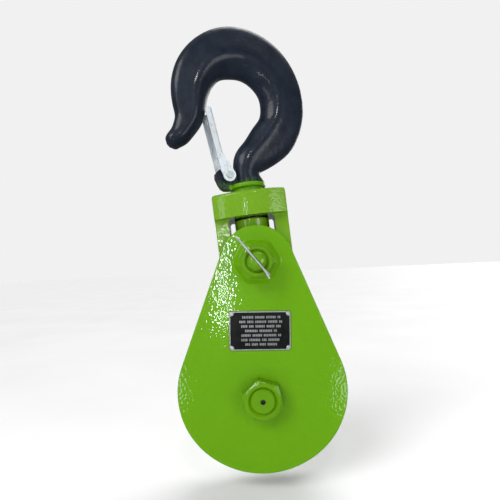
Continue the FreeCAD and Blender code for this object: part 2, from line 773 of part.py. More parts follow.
def latch_lug():
    """A flat ear on the side of the neck that carries the latch rivet."""
    radius = size("lug_radius")
    half = size("lug_thickness") / 2
    pivot = Vector(size("latch_pivot_x"), -half, size("latch_pivot_z"))
    outline = [
        Vector(0, -half, 102),
        Vector(-26, -half, 101),
        Vector(-33, -half, 101.5),
        Vector(-37.5, -half, 104.5),
        Vector(-40.5, -half, 110),
        Vector(-43.5, -half, 119),
        Vector(-43, -half, 125),
        Vector(-38, -half, 129),
        pivot + Vector(radius, 0, radius),
        Vector(0, -half, 136),
    ]
    face = Part.Face(Part.makePolygon(outline + [outline[0]]))
    ear = shape_feature("hook_lug_blank", face.extrude(Vector(0, 2 * half, 0)))
    rivet_hole = doc.addObject("Part::Cylinder", "hook_rivet_hole")
    bind(rivet_hole, Radius="Sizes.rivet_radius", Height="60")
    rivet_hole.Placement = Placement(
        Vector(size("latch_pivot_x"), 30, size("latch_pivot_z")), Rotation(Vector(1, 0, 0), 90)
    )
    return cut("hook_lug", ear, rivet_hole)


def lock_pin_solid(name, extra=0):
    pin = doc.addObject("Part::Cylinder", name)
    half = math.sqrt(size("hook_nut_radius") ** 2 - size("lock_pin_radius") ** 2)
    pin.setExpression("Radius", "Sizes.lock_pin_radius")
    pin.Height = 2 * half + 2 * extra
    nut_top = size("head_bottom") - size("axial_play") - size("thrust_washer_thickness")
    level = nut_top - size("hook_nut_height") + size("lock_pin_level")
    pin.Placement = Placement(Vector(-half - extra, 0, level), Rotation(Vector(0, 1, 0), 90))
    return pin


def hook_nut():
    blank = cylinder("hook_nut_blank", "Sizes.hook_nut_radius", "Sizes.hook_nut_height", SHANK_END)
    high = size("head_bottom") - size("axial_play") - size("thrust_washer_thickness")
    low = high - size("hook_nut_height")
    radius = size("hook_nut_radius")
    eased = rounded(
        "hook_nut_eased", blank, size("hook_nut_edge"),
        lambda edge: is_circle(edge, radius, low) or is_circle(edge, radius, high),
    )
    bore = cylinder("hook_nut_bore", "Sizes.shank_radius", "60", f"{SHANK_END} - 5")
    return cut("hook_nut", eased, bore, lock_pin_solid("hook_nut_cross_hole", 10))


# ---- latch ----------------------------------------------------------------------------------------------


def latch_side():
    """The latch seen from the side: a round eye at the pivot, a flare above it and a straight blade."""
    eye = size("latch_eye_radius")
    length = size("latch_length")
    start = size("latch_web_start")
    left = -size("latch_blade_left")
    right = -size("latch_blade_right")
    reach = size("latch_inside") / 2 + size("latch_sheet") + 1
    blade = [
        Vector(left, -reach, eye),
        Vector(left, -reach, length - 2),
        Vector(left + 2, -reach, length),
        Vector(right - 3, -reach, length),
        Vector(right, -reach, length - 3),
        Vector(right, -reach, start + 4),
        Vector(right + 1.2, -reach, start * 0.8),
        Vector(eye * 0.55, -reach, start * 0.45),
        Vector(eye * 0.9, -reach, eye * 0.45),
        Vector(0, -reach, 0),
        Vector(-eye * 0.87, -reach, -eye * 0.5),
    ]
    through = Vector(0, 2 * reach, 0)
    blade_solid = Part.Face(Part.makePolygon(blade + [blade[0]])).extrude(through)
    eye_edge = Part.Circle(Vector(0, -reach, 0), Vector(0, 1, 0), eye).toShape()
    eye_solid = Part.Face(Part.Wire([eye_edge])).extrude(through)
    return shape_feature("latch_side", blade_solid.fuse(eye_solid).removeSplitter())


def latch():
    """A sheet channel folded round the bowl side, cut to the side outline and drilled for the rivet."""
    half = "(Sizes.latch_inside / 2 + Sizes.latch_sheet)"
    right = "-Sizes.latch_blade_right"
    fold = box(
        "latch_fold_outer", "60", f"2 * {half}", "Sizes.latch_length - Sizes.latch_web_start + 5",
        f"{right} - 60", f"-{half}", "Sizes.latch_web_start",
    )
    outer = rounded("latch_fold", fold, size("latch_bend"), outer_corner)
    flanges = box(
        "latch_flanges", "60", f"2 * {half}", "Sizes.latch_web_start + 30", "-30", f"-{half}", "-30",
    )
    inner = box(
        "latch_hollow_blank", "90", "Sizes.latch_inside", "Sizes.latch_length + 60",
        f"{right} - Sizes.latch_sheet - 90", "-Sizes.latch_inside / 2", "-30",
    )
    hollow = rounded("latch_hollow", inner, 1.2, inner_corner)
    gap = box(
        "latch_mouth", "60", "Sizes.latch_inside", "Sizes.latch_web_start + 30", "-30",
        "-Sizes.latch_inside / 2", "-30",
    )
    channel = cut("latch_channel", fuse("latch_stock", outer, flanges), hollow, gap)
    hole = doc.addObject("Part::Cylinder", "latch_hole")
    bind(hole, Radius="Sizes.rivet_radius + Sizes.running_clearance", Height="60")
    hole.Placement = Placement(Vector(0, 30, 0), Rotation(Vector(1, 0, 0), 90))
    return cut("latch", common("latch_trimmed", channel, latch_side()), hole)


def outer_corner(edge):
    """The long corners of the fold on the bowl side."""
    bounds = edge.BoundBox
    return bounds.ZLength > 20 and bounds.XMin > -size("latch_blade_right") - 1


def inner_corner(edge):
    bounds = edge.BoundBox
    return bounds.ZLength > 20 and bounds.XMin > -size("latch_blade_right") - size("latch_sheet") - 1


def latch_rivet():
    """Along local Z, its two heads outside the flanges."""
    half = size("latch_inside") / 2 + size("latch_sheet") + 0.3
    shank = cylinder("latch_rivet_shank", "Sizes.rivet_radius", str(2 * half), str(-half))
    heads = []
    for name, level in (("front", half), ("rear", -half - size("rivet_head_height"))):
        heads.append(
            cylinder("latch_rivet_" + name, "Sizes.rivet_head_radius", "Sizes.rivet_head_height", str(level))
        )
    end = half + size("rivet_head_height")
    radius = size("rivet_head_radius")
    return rounded(
        "latch_rivet", fuse("latch_rivet_solid", shank, *heads), size("rivet_head_height") * 0.7,
        lambda edge: is_circle(edge, radius, end) or is_circle(edge, radius, -end),
    )


def latch_spring():
    """A torsion spring's coil round the rivet, on a helix along local Z."""
    coil = doc.addObject("Part::Helix", "latch_spring_path")
    bind(
        coil, Pitch="Sizes.spring_coil_length / Sizes.spring_turns", Height="Sizes.spring_coil_length",
        Radius="Sizes.spring_coil_radius",
    )
    coil.SegmentLength = 1
    wire = doc.addObject("Part::Circle", "latch_spring_wire")
    bind(wire, Radius="Sizes.spring_wire_radius")
    wire.Placement = Placement(Vector(size("spring_coil_radius"), 0, 0), Rotation(Vector(1, 0, 0), 90))
    sweep = doc.addObject("Part::Sweep", "latch_spring")
    sweep.Sections = [wire]
    sweep.Spine = (coil, [])
    sweep.Solid = True
    sweep.Frenet = True
    return sweep


# ---- the block put together -----------------------------------------------------------------------------

fill_sheet()

lean = Rotation(Vector(0, 1, 0), -size("lean"))
turn = Rotation(Vector(0, 0, 1), size("hook_turn"))
bowl = lean.multVec(turn.multVec(Vector(size("bowl_x"), 0, size("bowl_z"))))

# Parts made along local Z with local Y up are turned so that local Z points to the front plate.
FACING_FRONT = Rotation(Vector(1, 0, 0), 90)
FACING_REAR = Rotation(Vector(0, 0, 1), 180) * FACING_FRONT
UPRIGHT = Rotation()

block = Placement(-bowl, UPRIGHT)
swivel = Placement(-bowl, lean)
hook_frame = Placement(-bowl, lean * turn)
pin_frame = block * Placement(Vector(0, 0, -size("pin_drop")), UPRIGHT)
pivot_frame = hook_frame * Placement(Vector(size("latch_pivot_x"), 0, size("latch_pivot_z")), UPRIGHT)

parts = []


def place(label, thing, frame, rotation=UPRIGHT):
    thing.Label = label
    thing.Placement = frame * Placement(Vector(0, 0, 0), rotation) * thing.Placement
    parts.append(thing)


place("front_side_plate", side_plate("front_side_plate"), block, FACING_FRONT)
place("rear_side_plate", side_plate("rear_side_plate"), block, FACING_REAR)
place("top_bolt", top_bolt(), block, FACING_FRONT)
place(
    "top_bolt_nut",
    nut(
        "top_bolt_nut", "Sizes.bolt_flats", "Sizes.bolt_nut_height", BOSS_TOP,
        "Sizes.bolt_radius", "Sizes.bolt_sink_radius",
    ),
    block, FACING_FRONT,
)
place("top_bolt_cotter", cotter(), block, FACING_FRONT)
place("centre_pin", centre_pin(), pin_frame, FACING_FRONT)
for end, rotation, spin in (("front", FACING_FRONT, -18.0), ("rear", FACING_REAR, 5.0)):
    place(
        f"{end}_pin_nut",
        nut(
            end + "_pin_nut", "Sizes.pin_nut_flats", "Sizes.pin_nut_height", OUTSIDE,
            "Sizes.pin_radius", "Sizes.pin_sink_radius",
        ),
        pin_frame, rotation * Rotation(Vector(0, 0, 1), spin),
    )
    place(
        f"{end}_hub_washer",
        ring(
            f"{end}_hub_washer", "Sizes.hub_washer_radius", "Sizes.journal_radius + Sizes.running_clearance",
            "Sizes.hub_washer_thickness", "Sizes.hub_width / 2 + 0.1",
        ),
        pin_frame, rotation,
    )
place("grease_fitting", grease_fitting(), pin_frame, FACING_FRONT)
mouth = size("plate_gap") / 2 + size("plate_thickness") + size("pin_nut_height") + size("pin_proud")
ball_depth = mouth - 1.8 - size("ball_radius")
place("grease_ball", grease_ball(), pin_frame * Placement(Vector(0, -ball_depth, 0), UPRIGHT))
place("sheave", sheave(), pin_frame, FACING_FRONT)
place(
    "sheave_bushing",
    ring(
        "sheave_bushing", "Sizes.bushing_radius", "Sizes.journal_radius + Sizes.running_clearance",
        "Sizes.hub_width", "-Sizes.hub_width / 2",
    ),
    pin_frame, FACING_FRONT,
)
# The nameplate is fixed a little off square, turned about its own middle.
plate_middle = Vector(0, 0, -size("nameplate_drop"))
skewed = block * Placement(Vector(0, 0, 0), Rotation(Vector(0, 1, 0), size("nameplate_skew")), plate_middle)
place("nameplate", nameplate(), skewed, FACING_FRONT)
place("nameplate_screws", nameplate_screws(), skewed, FACING_FRONT)
place("yoke", yoke(), swivel)
place("hook", hook(), hook_frame)
place("hook_nut", hook_nut(), hook_frame)
place("hook_nut_pin", lock_pin_solid("hook_nut_pin"), hook_frame)
place(
    "thrust_washer",
    ring(
        "thrust_washer", "Sizes.thrust_washer_radius", "Sizes.shank_radius",
        "Sizes.thrust_washer_thickness",
        "Sizes.head_bottom - Sizes.axial_play - Sizes.thrust_washer_thickness",
    ),
    hook_frame,
)
place("latch", latch(), pivot_frame, Rotation(Vector(0, 1, 0), -size("latch_tilt")))
place("latch_rivet", latch_rivet(), pivot_frame, FACING_FRONT)
spring_start = Vector(0, -size("lug_thickness") / 2 - size("spring_wire_radius") - 0.3, 0)
place("latch_spring", latch_spring(), pivot_frame * Placement(spring_start, UPRIGHT), FACING_FRONT)

doc.recompute()

for thing in doc.Objects:
    if "Invalid" in thing.State or "Error" in thing.State:
        raise RuntimeError(f"{thing.Name} failed: {thing.State}")

os.makedirs("parts", exist_ok=True)
for thing in parts:
    if thing.Shape.isNull() or not thing.Shape.isValid():
        raise RuntimeError(f"{thing.Label} has no valid shape")
    thing.Shape.exportStep(f"parts/{thing.Label}.step")
    volume = thing.Shape.Volume / 1000
    print(f"{thing.Label}: {len(thing.Shape.Solids)} solid, {volume:.1f} cm3")
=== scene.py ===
import json
import math
import random

import bpy
from mathutils import Matrix, Vector


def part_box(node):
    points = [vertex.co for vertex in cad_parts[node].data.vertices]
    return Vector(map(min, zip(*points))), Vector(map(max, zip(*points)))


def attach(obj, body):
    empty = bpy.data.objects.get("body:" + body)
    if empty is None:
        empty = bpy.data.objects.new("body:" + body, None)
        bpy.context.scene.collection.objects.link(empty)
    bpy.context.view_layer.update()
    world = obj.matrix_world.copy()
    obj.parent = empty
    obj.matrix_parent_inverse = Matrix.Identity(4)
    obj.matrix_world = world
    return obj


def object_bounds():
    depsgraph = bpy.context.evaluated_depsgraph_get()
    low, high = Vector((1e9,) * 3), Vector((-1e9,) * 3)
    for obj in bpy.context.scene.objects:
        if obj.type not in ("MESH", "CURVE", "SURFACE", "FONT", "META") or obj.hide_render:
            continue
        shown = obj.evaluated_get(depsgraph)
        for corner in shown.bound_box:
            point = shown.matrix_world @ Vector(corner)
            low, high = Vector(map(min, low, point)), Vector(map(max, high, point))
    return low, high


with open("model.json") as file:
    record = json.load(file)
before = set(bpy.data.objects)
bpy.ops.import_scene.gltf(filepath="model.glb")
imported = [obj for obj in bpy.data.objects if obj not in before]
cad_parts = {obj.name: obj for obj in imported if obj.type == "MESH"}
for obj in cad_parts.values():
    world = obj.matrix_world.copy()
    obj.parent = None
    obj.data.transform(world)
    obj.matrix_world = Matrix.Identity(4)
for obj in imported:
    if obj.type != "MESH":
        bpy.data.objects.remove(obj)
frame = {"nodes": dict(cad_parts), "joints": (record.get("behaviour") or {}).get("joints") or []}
CAD_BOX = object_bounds()
NODES = frame["nodes"]
JOINTS = {joint["name"]: joint for joint in frame["joints"]}

BOLT = Vector(JOINTS["block_swing"]["pos_m"])
PIN = Vector(JOINTS["sheave_spin"]["pos_m"])
SWIVEL = Vector(JOINTS["hook_swivel"]["pos_m"])
SWIVEL_AXIS = Vector(JOINTS["hook_swivel"]["axis"])
LATCH = Vector(JOINTS["latch_open"]["pos_m"])
HOOK_SIDE = Vector(JOINTS["latch_open"]["axis"])

MM = 0.001
EVEN = (1.0, 1.0, 1.0)


# ---- materials ------------------------------------------------------------------------------------------


class Finish:
    """A Principled material whose texture space is the part's own frame, in metres."""

    def __init__(self, name, **sockets):
        self.material = bpy.data.materials.new(name)
        self.material.use_nodes = True
        self.tree = self.material.node_tree
        self.shader = self.tree.nodes["Principled BSDF"]
        self.place = self.node("ShaderNodeTexCoord").outputs["Object"]
        self.bumped = None
        for socket, value in sockets.items():
            self.shader.inputs[socket.replace("_", " ")].default_value = value

    def node(self, kind, **settings):
        node = self.tree.nodes.new(kind)
        for key, value in settings.items():
            setattr(node, key, value)
        return node

    def feed(self, socket, value):
        if isinstance(value, bpy.types.NodeSocket):
            self.tree.links.new(value, socket)
        else:
            socket.default_value = value

    def noise(self, per_metre, detail=2.0, stretch=None):
        """Cloudy noise with about this many lumps to the metre."""
        node = self.node("ShaderNodeTexNoise")
        node.inputs["Scale"].default_value = per_metre
        node.inputs["Detail"].default_value = detail
        place = self.place
        if stretch:
            mapping = self.node("ShaderNodeMapping")
            self.feed(mapping.inputs["Vector"], place)
            mapping.inputs["Scale"].default_value = stretch
            place = mapping.outputs["Vector"]
        self.feed(node.inputs["Vector"], place)
        return node.outputs["Fac"]

    def scaled(self, value, low, high, to_low, to_high):
        """Value run from low..high on to to_low..to_high, held at its ends."""
        node = self.node("ShaderNodeMapRange")
        sockets = ("Value", "From Min", "From Max", "To Min", "To Max")
        for socket, number in zip(sockets, (value, low, high, to_low, to_high)):
            self.feed(node.inputs[socket], number)
        return node.outputs["Result"]

    def maths(self, operation, first, second=0.0):
        node = self.node("ShaderNodeMath", operation=operation)
        self.feed(node.inputs[0], first)
        self.feed(node.inputs[1], second)
        return node.outputs[0]

    def along(self, point, axis):
        """Signed distance in metres from a point along an axis."""
        offset = self.node("ShaderNodeVectorMath", operation="SUBTRACT")
        self.feed(offset.inputs[0], self.place)
        offset.inputs[1].default_value = point
        dot = self.node("ShaderNodeVectorMath", operation="DOT_PRODUCT")
        self.feed(dot.inputs[0], offset.outputs["Vector"])
        dot.inputs[1].default_value = axis
        return dot.outputs["Value"]

    def away(self, point, keep=EVEN):
        """Distance in metres from a point, or from an axis through it where keep leaves a direction out."""
        offset = self.node("ShaderNodeVectorMath", operation="SUBTRACT")
        self.feed(offset.inputs[0], self.place)
        offset.inputs[1].default_value = point
        kept = self.node("ShaderNodeVectorMath", operation="MULTIPLY")
        self.feed(kept.inputs[0], offset.outputs["Vector"])
        kept.inputs[1].default_value = keep
        length = self.node("ShaderNodeVectorMath", operation="LENGTH")
        self.feed(length.inputs[0], kept.outputs["Vector"])
        return length.outputs["Value"]

    def blend(self, factor, first, second):
        node = self.node("ShaderNodeMix", data_type="RGBA")
        self.feed(node.inputs[0], factor)
        for socket, colour in ((node.inputs[6], first), (node.inputs[7], second)):
            self.feed(socket, colour if isinstance(colour, bpy.types.NodeSocket) else (*colour, 1.0))
        return node.outputs[2]

    def bump(self, height, depth, strength=1.0):
        """Adds relief of this depth in metres on top of any relief so far."""
        node = self.node("ShaderNodeBump")
        node.inputs["Strength"].default_value = strength
        node.inputs["Distance"].default_value = depth
        self.feed(node.inputs["Height"], height)
        if self.bumped:
            self.feed(node.inputs["Normal"], self.bumped)
        self.bumped = node.outputs["Normal"]

    def done(self, colour, roughness=None):
        self.feed(self.shader.inputs["Base Color"], colour)
        if roughness is not None:
            self.feed(self.shader.inputs["Roughness"], roughness)
        if self.bumped:
            self.feed(self.shader.inputs["Normal"], self.bumped)
            self.feed(self.shader.inputs["Coat Normal"], self.bumped)
        return self.material


GREEN = (0.104, 0.285, 0.0004)
DEEP_GREEN = (0.080, 0.225, 0.0004)
PALE_GREEN = (0.122, 0.312, 0.0012)
YOKE_GREEN = (0.130, 0.276, 0.0140)
NUT_GREEN = (0.086, 0.226, 0.0010)
PIN_GREEN = (0.088, 0.230, 0.0010)
# Painted light: the hook nut's green is paler than the other nuts' so that it looks lit where it sits in the
# shade of the yoke's window.
HOOK_NUT_PAINTED_LIGHT_GREEN = (0.150, 0.320, 0.0100)
NAVY = (0.0050, 0.0085, 0.0165)
PALE_NAVY = (0.0105, 0.0160, 0.0280)


def orange_peel(finish, coarse=1.0):
    """Sprayed enamel over metal: slow waves, the dimples of the peel and a fine mist."""
    finish.bump(finish.noise(30.0, 1.0), 0.8 * MM * coarse, 0.12)
    finish.bump(finish.noise(300.0, 0.0), 0.22 * MM * coarse, 0.8)
    finish.bump(finish.noise(1500.0, 1.0), 0.012 * MM, 0.4)


def green_colour(finish, base=GREEN):
    """Green with soft paler patches and fine darker specks."""
    patches = finish.scaled(finish.noise(24.0, 3.0), 0.35, 0.7, 0.0, 0.35)
    specks = finish.scaled(finish.noise(900.0, 1.0), 0.6, 0.75, 0.0, 0.25)
    tinted = finish.blend(patches, base, PALE_GREEN)
    return finish.blend(specks, tinted, DEEP_GREEN)


def green_enamel(name, coarse=1.0, base=GREEN, coat=0.7):
    """Glossy green enamel; coarse is how rough the metal under it is."""
    finish = Finish(name, Coat_Weight=coat, Coat_Roughness=0.03, Specular_IOR_Level=0.06, IOR=1.5)
    orange_peel(finish, coarse)
    roughness = finish.scaled(finish.noise(160.0, 3.0), 0.3, 0.7, 0.24, 0.40)
    return finish.done(green_colour(finish, base), roughness)


def hook_enamel():
    """Near-black enamel over a forging, with the die's parting line, and green round the collar."""
    finish = Finish("hook_enamel", Coat_Weight=0.16, Coat_Roughness=0.08, Specular_IOR_Level=0.14, IOR=1.5)
    finish.bump(finish.noise(55.0, 2.0), 1.3 * MM, 0.40)
    finish.bump(finish.noise(420.0, 3.0), 0.14 * MM, 0.6)
    across = finish.maths("ABSOLUTE", finish.along(Vector((0, 0, 0)), HOOK_SIDE))
    finish.bump(finish.scaled(across, 0.0, 1.6 * MM, 1.0, 0.0), 0.35 * MM, 0.4)
    patches = finish.scaled(finish.noise(45.0, 4.0), 0.35, 0.7, 0.0, 1.0)
    black = finish.blend(patches, NAVY, PALE_NAVY)
    scuffs = finish.scaled(finish.noise(700.0, 2.0), 0.66, 0.74, 0.0, 0.35)
    black = finish.blend(scuffs, black, (0.030, 0.036, 0.048))
    level = finish.along(SWIVEL, SWIVEL_AXIS)
    wander = finish.scaled(finish.noise(260.0, 3.0), 0.3, 0.7, -1.2 * MM, 1.2 * MM)
    ragged = finish.maths("ADD", level, wander)
    lip = finish.scaled(ragged, 14.0 * MM, 15.0 * MM, 1.0, 0.0)
    reach = SWIVEL_AXIS.cross(HOOK_SIDE)
    if reach.dot(LATCH - SWIVEL) < 0:
        reach = -reach
    near = finish.scaled(finish.along(SWIVEL, reach), 26.0 * MM, 29.0 * MM, 1.0, 0.0)
    lip = finish.maths("MULTIPLY", lip, near)
    mist = finish.scaled(finish.noise(800.0, 2.0), 0.52, 0.62, 0.0, 1.0)
    drift = finish.maths("MULTIPLY", mist, finish.scaled(level, 15.0 * MM, 24.0 * MM, 0.55, 0.0))
    colour = finish.blend(finish.maths("MAXIMUM", lip, drift), black, GREEN)
    roughness = finish.scaled(finish.noise(120.0, 3.0), 0.3, 0.7, 0.28, 0.48)
    return finish.done(colour, roughness)


def zinc(name, stretch=EVEN, colour=(0.63, 0.69, 0.745), rough=0.30):
    """Bright zinc plate with drawn lines, faint rainbow tint and small dull specks."""
    finish = Finish(name, Metallic=0.45, IOR=1.5)
    lines = finish.noise(900.0, 3.0, stretch)
    tint = finish.scaled(finish.noise(60.0, 2.0), 0.35, 0.65, 0.0, 0.5)
    plated = finish.blend(tint, colour, (0.56, 0.60, 0.60))
    specks = finish.scaled(finish.noise(650.0, 4.0), 0.64, 0.74, 0.0, 0.40)
    plated = finish.blend(specks, plated, (0.34, 0.37, 0.40))
    finish.bump(lines, 0.05 * MM, 0.5)
    finish.bump(finish.noise(140.0, 2.0), 0.25 * MM, 0.4)
    return finish.done(plated, finish.scaled(lines, 0.3, 0.7, rough - 0.08, rough + 0.14))


def machined(name, colour, dark, centre, axis=(1.0, 0.0, 1.0), rough=0.32, metal=1.0):
    """Turned metal: fine rings about an axis, with a little staining."""
    finish = Finish(name, Metallic=metal, IOR=1.5)
    radius = finish.away(centre, axis)
    rings = finish.maths("SINE", finish.maths("MULTIPLY", radius, 9000.0))
    stains = finish.scaled(finish.noise(70.0, 4.0), 0.45, 0.72, 0.0, 0.7)
    finish.bump(rings, 0.015 * MM, 0.5)
    finish.bump(finish.noise(500.0, 3.0), 0.05 * MM, 0.4)
    stained = finish.blend(stains, colour, dark)
    return finish.done(stained, finish.scaled(stains, 0.0, 1.0, rough, rough + 0.25))


def sheave_finish():
    """Green enamel on a coarse casting, worn to bare steel in the rope groove."""
    finish = Finish("sheave_enamel", IOR=1.5, Coat_Weight=0.3, Coat_Roughness=0.2)
    orange_peel(finish, 1.5)
    radius = finish.away(PIN, (1.0, 0.0, 1.0))
    across = finish.maths("ABSOLUTE", finish.along(PIN, Vector((0, 1, 0))))
    outside = finish.scaled(radius, 76.0 * MM, 79.0 * MM, 0.0, 1.0)
    middle = finish.scaled(across, 11.0 * MM, 14.0 * MM, 1.0, 0.0)
    bare = finish.maths("MULTIPLY", outside, middle)
    worn = finish.maths("MULTIPLY", bare, finish.scaled(finish.noise(120.0, 4.0), 0.3, 0.45, 0.3, 1.0))
    grime = finish.scaled(finish.noise(300.0, 4.0), 0.35, 0.7, 0.0, 1.0)
    steel = finish.blend(grime, (0.30, 0.29, 0.27), (0.14, 0.12, 0.10))
    colour = finish.blend(worn, green_colour(finish), steel)
    finish.feed(finish.shader.inputs["Metallic"], finish.maths("MULTIPLY", worn, 0.85))
    return finish.done(colour, finish.scaled(finish.noise(200.0, 3.0), 0.3, 0.7, 0.30, 0.5))


def plate_black():
    """Etched black field of the nameplate, with a fine pebble."""
    finish = Finish("nameplate_black", IOR=1.5, Specular_IOR_Level=0.12)
    finish.bump(finish.noise(1400.0, 3.0), 0.03 * MM, 0.7)
    finish.bump(finish.noise(90.0, 1.0), 0.12 * MM, 0.5)
    patches = finish.scaled(finish.noise(110.0, 3.0), 0.35, 0.7, 0.0, 1.0)
    colour = finish.blend(patches, (0.0030, 0.0042, 0.0040), (0.008, 0.010, 0.0095))
    return finish.done(colour, finish.scaled(finish.noise(400.0, 3.0), 0.3, 0.7, 0.30, 0.48))


def plate_silver(name, shade=1.0):
    """Brushed, partly worn metal of the nameplate; shade darkens it."""
    finish = Finish(name, Metallic=0.35, IOR=1.5)
    finish.bump(finish.noise(1300.0, 3.0, (0.15, 1.0, 1.0)), 0.03 * MM, 0.6)
    worn = finish.scaled(finish.noise(420.0, 4.0), 0.50, 0.66, 0.0, 0.7)
    bright, dull = [tuple(shade * v for v in tone) for tone in ((0.58, 0.60, 0.61), (0.30, 0.32, 0.32))]
    colour = finish.blend(worn, bright, dull)
    return finish.done(colour, finish.scaled(worn, 0.0, 1.0, 0.34, 0.5))


def spring_wire():
    """Dark drawn wire with a little rust."""
    finish = Finish("spring_wire", Metallic=0.9, IOR=1.5)
    finish.bump(finish.noise(1600.0, 3.0, (1.0, 1.0, 0.2)), 0.03 * MM, 0.6)
    rust = finish.scaled(finish.noise(500.0, 4.0), 0.5, 0.68, 0.0, 0.6)
    colour = finish.blend(rust, (0.10, 0.10, 0.11), (0.09, 0.055, 0.03))
    return finish.done(colour, finish.scaled(rust, 0.0, 1.0, 0.32, 0.6))


def dress(material, *names):
    """Gives the material to these CAD nodes."""
    for name in names:
        mesh = NODES[name].data
        mesh.materials.clear()
        mesh.materials.append(material)


dress(green_enamel("plate_enamel", 0.8), "front_side_plate", "rear_side_plate")
dress(green_enamel("yoke_enamel", 1.25, YOKE_GREEN, 0.4), "yoke")
dress(
    green_enamel("nut_enamel", 1.0, NUT_GREEN),
    "top_bolt_nut", "front_pin_nut", "rear_pin_nut", "top_bolt",
)
dress(green_enamel("pin_enamel", 1.0, PIN_GREEN), "centre_pin")
# The hook nut gets a paler copy of the green enamel. This is painted light that stands in for lighting the
# nut between the yoke and the plates.
dress(green_enamel("hook_nut_painted_light_enamel", 1.0, HOOK_NUT_PAINTED_LIGHT_GREEN), "hook_nut")
dress(hook_enamel(), "hook")
dress(zinc("latch_zinc", (0.12, 1.0, 0.12)), "latch")
dress(zinc("rivet_zinc", EVEN, (0.40, 0.43, 0.46), 0.30), "latch_rivet")
dress(zinc("cotter_zinc", EVEN, (0.40, 0.42, 0.43), 0.26), "top_bolt_cotter")
dress(zinc("screw_zinc", EVEN, (0.40, 0.41, 0.41), 0.30), "nameplate_screws")
dress(spring_wire(), "latch_spring")
dress(
    machined("washer_steel", (0.030, 0.028, 0.026), (0.012, 0.010, 0.008), SWIVEL, (1.0, 1.0, 0.0)),
    "thrust_washer",
)
dress(
    machined("lock_pin_steel", (0.42, 0.43, 0.44), (0.16, 0.13, 0.10), SWIVEL, (1.0, 0.0, 1.0)),
    "hook_nut_pin",
)
dress(
    machined("bronze", (0.52, 0.31, 0.10), (0.20, 0.11, 0.04), PIN),
    "sheave_bushing", "front_hub_washer", "rear_hub_washer",
)
dress(
    machined("fitting_steel", (0.045, 0.080, 0.020), (0.015, 0.030, 0.008), PIN, metal=0.3),
    "grease_fitting", "grease_ball",
)
dress(sheave_finish(), "sheave")
dress(plate_black(), "nameplate")


# ---- nameplate's raised face ----------------------------------------------------------------------------

PLATE_LOW, PLATE_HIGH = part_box("nameplate")
PLATE_CENTRE = (PLATE_LOW + PLATE_HIGH) / 2
PLATE_SKEW = math.radians(1.8)
PLATE_BOX = PLATE_HIGH - PLATE_LOW
PLATE_CORNER = 3 * MM


def unskewed(along, across):
    """A side of the skewed nameplate, whose rounded corners are what touches its box."""
    sine, cosine = math.sin(PLATE_SKEW), math.cos(PLATE_SKEW)
    slack = 2 * PLATE_CORNER * (sine + cosine - 1)
    return ((along + slack) * cosine - (across + slack) * sine) / (cosine**2 - sine**2)


PLATE_WIDTH = unskewed(PLATE_BOX.x, PLATE_BOX.z)
PLATE_HEIGHT = unskewed(PLATE_BOX.z, PLATE_BOX.x)
RELIEF = 0.25 * MM


def relief(name, loops, body, material):
    """A thin raised shape on the nameplate's face, from closed loops of (x, z) about its centre."""
    curve = bpy.data.curves.new(name, "CURVE")
    curve.dimensions = "2D"
    curve.fill_mode = "BOTH"
    curve.extrude = RELIEF / 2
    curve.bevel_depth = 0.06 * MM
    curve.bevel_resolution = 1
    for loop in loops:
        spline = curve.splines.new("POLY")
        spline.points.add(len(loop) - 1)
        for point, (x, z) in zip(spline.points, loop):
            point.co = (x, z, 0.0, 1.0)
        spline.use_cyclic_u = True
    source = bpy.data.objects.new(name + "_curve", curve)
    mesh = bpy.data.meshes.new_from_object(source)
    bpy.data.objects.remove(source)
    face = Vector((PLATE_CENTRE.x, PLATE_LOW.y - RELIEF / 4, PLATE_CENTRE.z))
    skew = Matrix.Rotation(PLATE_SKEW, 4, "Y")
    mesh.transform(Matrix.Translation(face) @ skew @ Matrix.Rotation(math.radians(90), 4, "X"))
    mesh.materials.clear()
    mesh.materials.append(material)
    piece = bpy.data.objects.new(name, mesh)
    bpy.context.scene.collection.objects.link(piece)
    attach(piece, body)
    return piece


def rounded_loop(half_width, half_height, radius, steps=6, centre=(0.0, 0.0)):
    points = []
    for corner, (sx, sz) in enumerate(((1, 1), (-1, 1), (-1, -1), (1, -1))):
        for step in range(steps + 1):
            angle = math.radians(90 * (corner + step / steps))
            x = sx * (half_width - radius) + radius * math.cos(angle)
            z = sz * (half_height - radius) + radius * math.sin(angle)
            points.append((x + centre[0], z + centre[1]))
    return points


def gusset_loop(half_width, half_height, cut, steps=6):
    """The black field's edge: a rectangle whose corners are scooped out round the drive screws."""
    points = []
    for corner, (sx, sz) in enumerate(((1, 1), (-1, 1), (-1, -1), (1, -1))):
        for step in range(steps + 1):
            angle = math.radians(90 * corner + 270 - 90 * step / steps)
            x = sx * half_width + cut * math.cos(angle)
            z = sz * half_height + cut * math.sin(angle)
            points.append((x, z))
    return points


BORDER = 1.1 * MM
EDGE = 0.4 * MM
outer = rounded_loop(PLATE_WIDTH / 2 - EDGE, PLATE_HEIGHT / 2 - EDGE, 2.6 * MM)
inner = gusset_loop(PLATE_WIDTH / 2 - EDGE - BORDER, PLATE_HEIGHT / 2 - EDGE - BORDER, 5.0 * MM)
relief("nameplate_border", [outer, inner], "block", plate_silver("nameplate_silver", 0.62))

